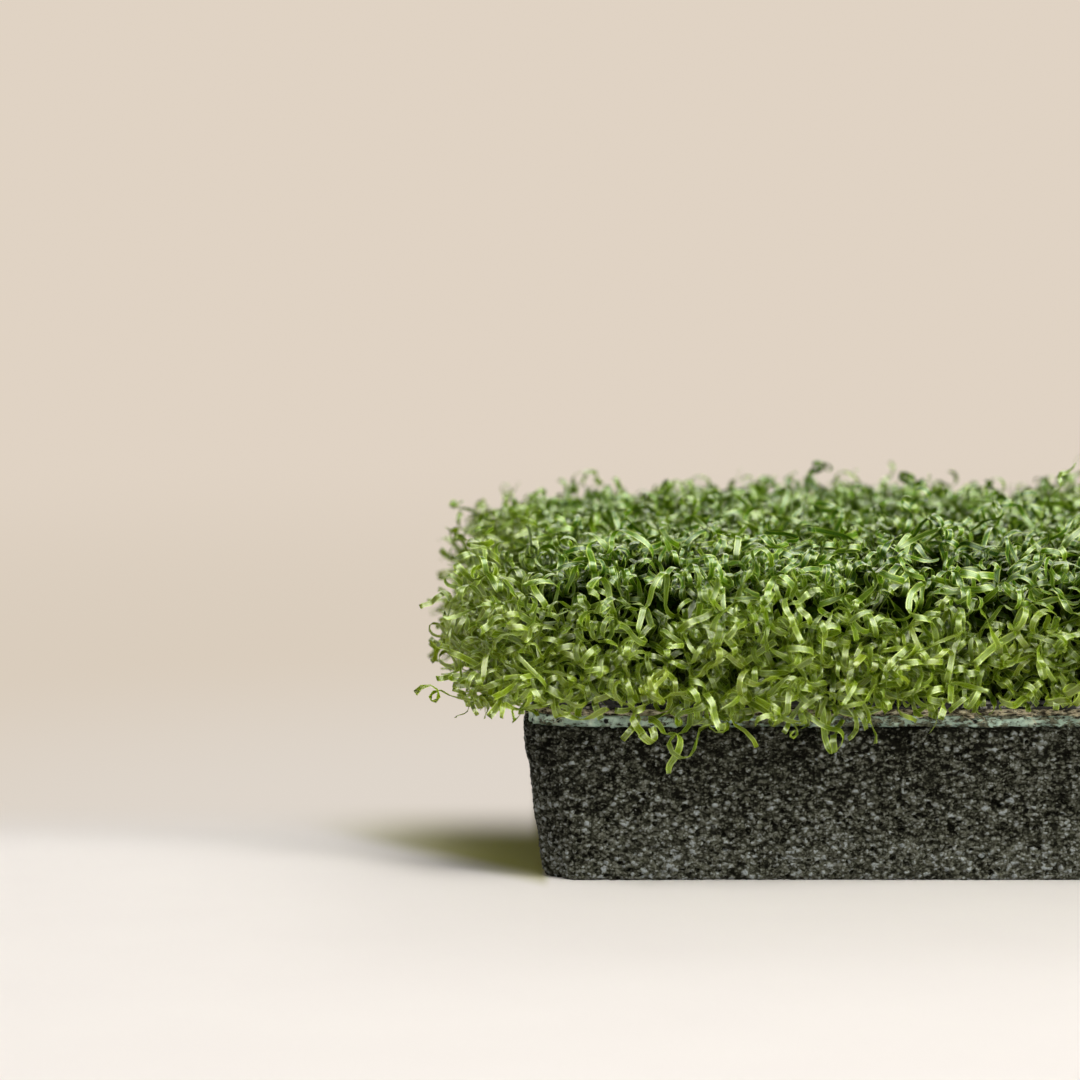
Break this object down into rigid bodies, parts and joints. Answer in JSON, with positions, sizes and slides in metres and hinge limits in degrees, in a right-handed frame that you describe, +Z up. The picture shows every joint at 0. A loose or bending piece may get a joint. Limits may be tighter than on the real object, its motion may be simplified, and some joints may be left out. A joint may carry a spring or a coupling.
{
  "type": "golf hitting mat",
  "caption": "Rectangular cut-edge block of golf hitting mat: thick closed-cell foam pad, adhesive film, latex-coated woven backing and rows of curly green ribbon pile.",
  "frame": {"origin": "centre of the underside of the foam pad, in the plane it rests on", "axes": "+Z up out of the pile, X along the tuft rows and the long side, Y across the rows"},
  "size_m": [0.1664, 0.1176, 0.0403],
  "materials": {
    "foam": "matte",
    "adhesive": "satin",
    "latex": "matte",
    "woven_cloth": "matte",
    "pile_yarn": "satin"
  },
  "bodies": {
    "root": {"foam_base": "foam", "adhesive_film": "adhesive", "latex_coat": "latex", "backing_cloth": "woven_cloth", "yarn_row_01": "pile_yarn", "yarn_row_02": "pile_yarn", "yarn_row_03": "pile_yarn", "yarn_row_04": "pile_yarn", "yarn_row_05": "pile_yarn", "yarn_row_06": "pile_yarn", "yarn_row_07": "pile_yarn", "yarn_row_08": "pile_yarn", "yarn_row_09": "pile_yarn", "yarn_row_10": "pile_yarn", "yarn_row_11": "pile_yarn", "yarn_row_12": "pile_yarn", "yarn_row_13": "pile_yarn", "yarn_row_14": "pile_yarn", "yarn_row_15": "pile_yarn", "yarn_row_16": "pile_yarn", "yarn_row_17": "pile_yarn", "yarn_row_18": "pile_yarn", "yarn_row_19": "pile_yarn", "yarn_row_20": "pile_yarn", "yarn_row_21": "pile_yarn"}
  },
  "joints": []
}
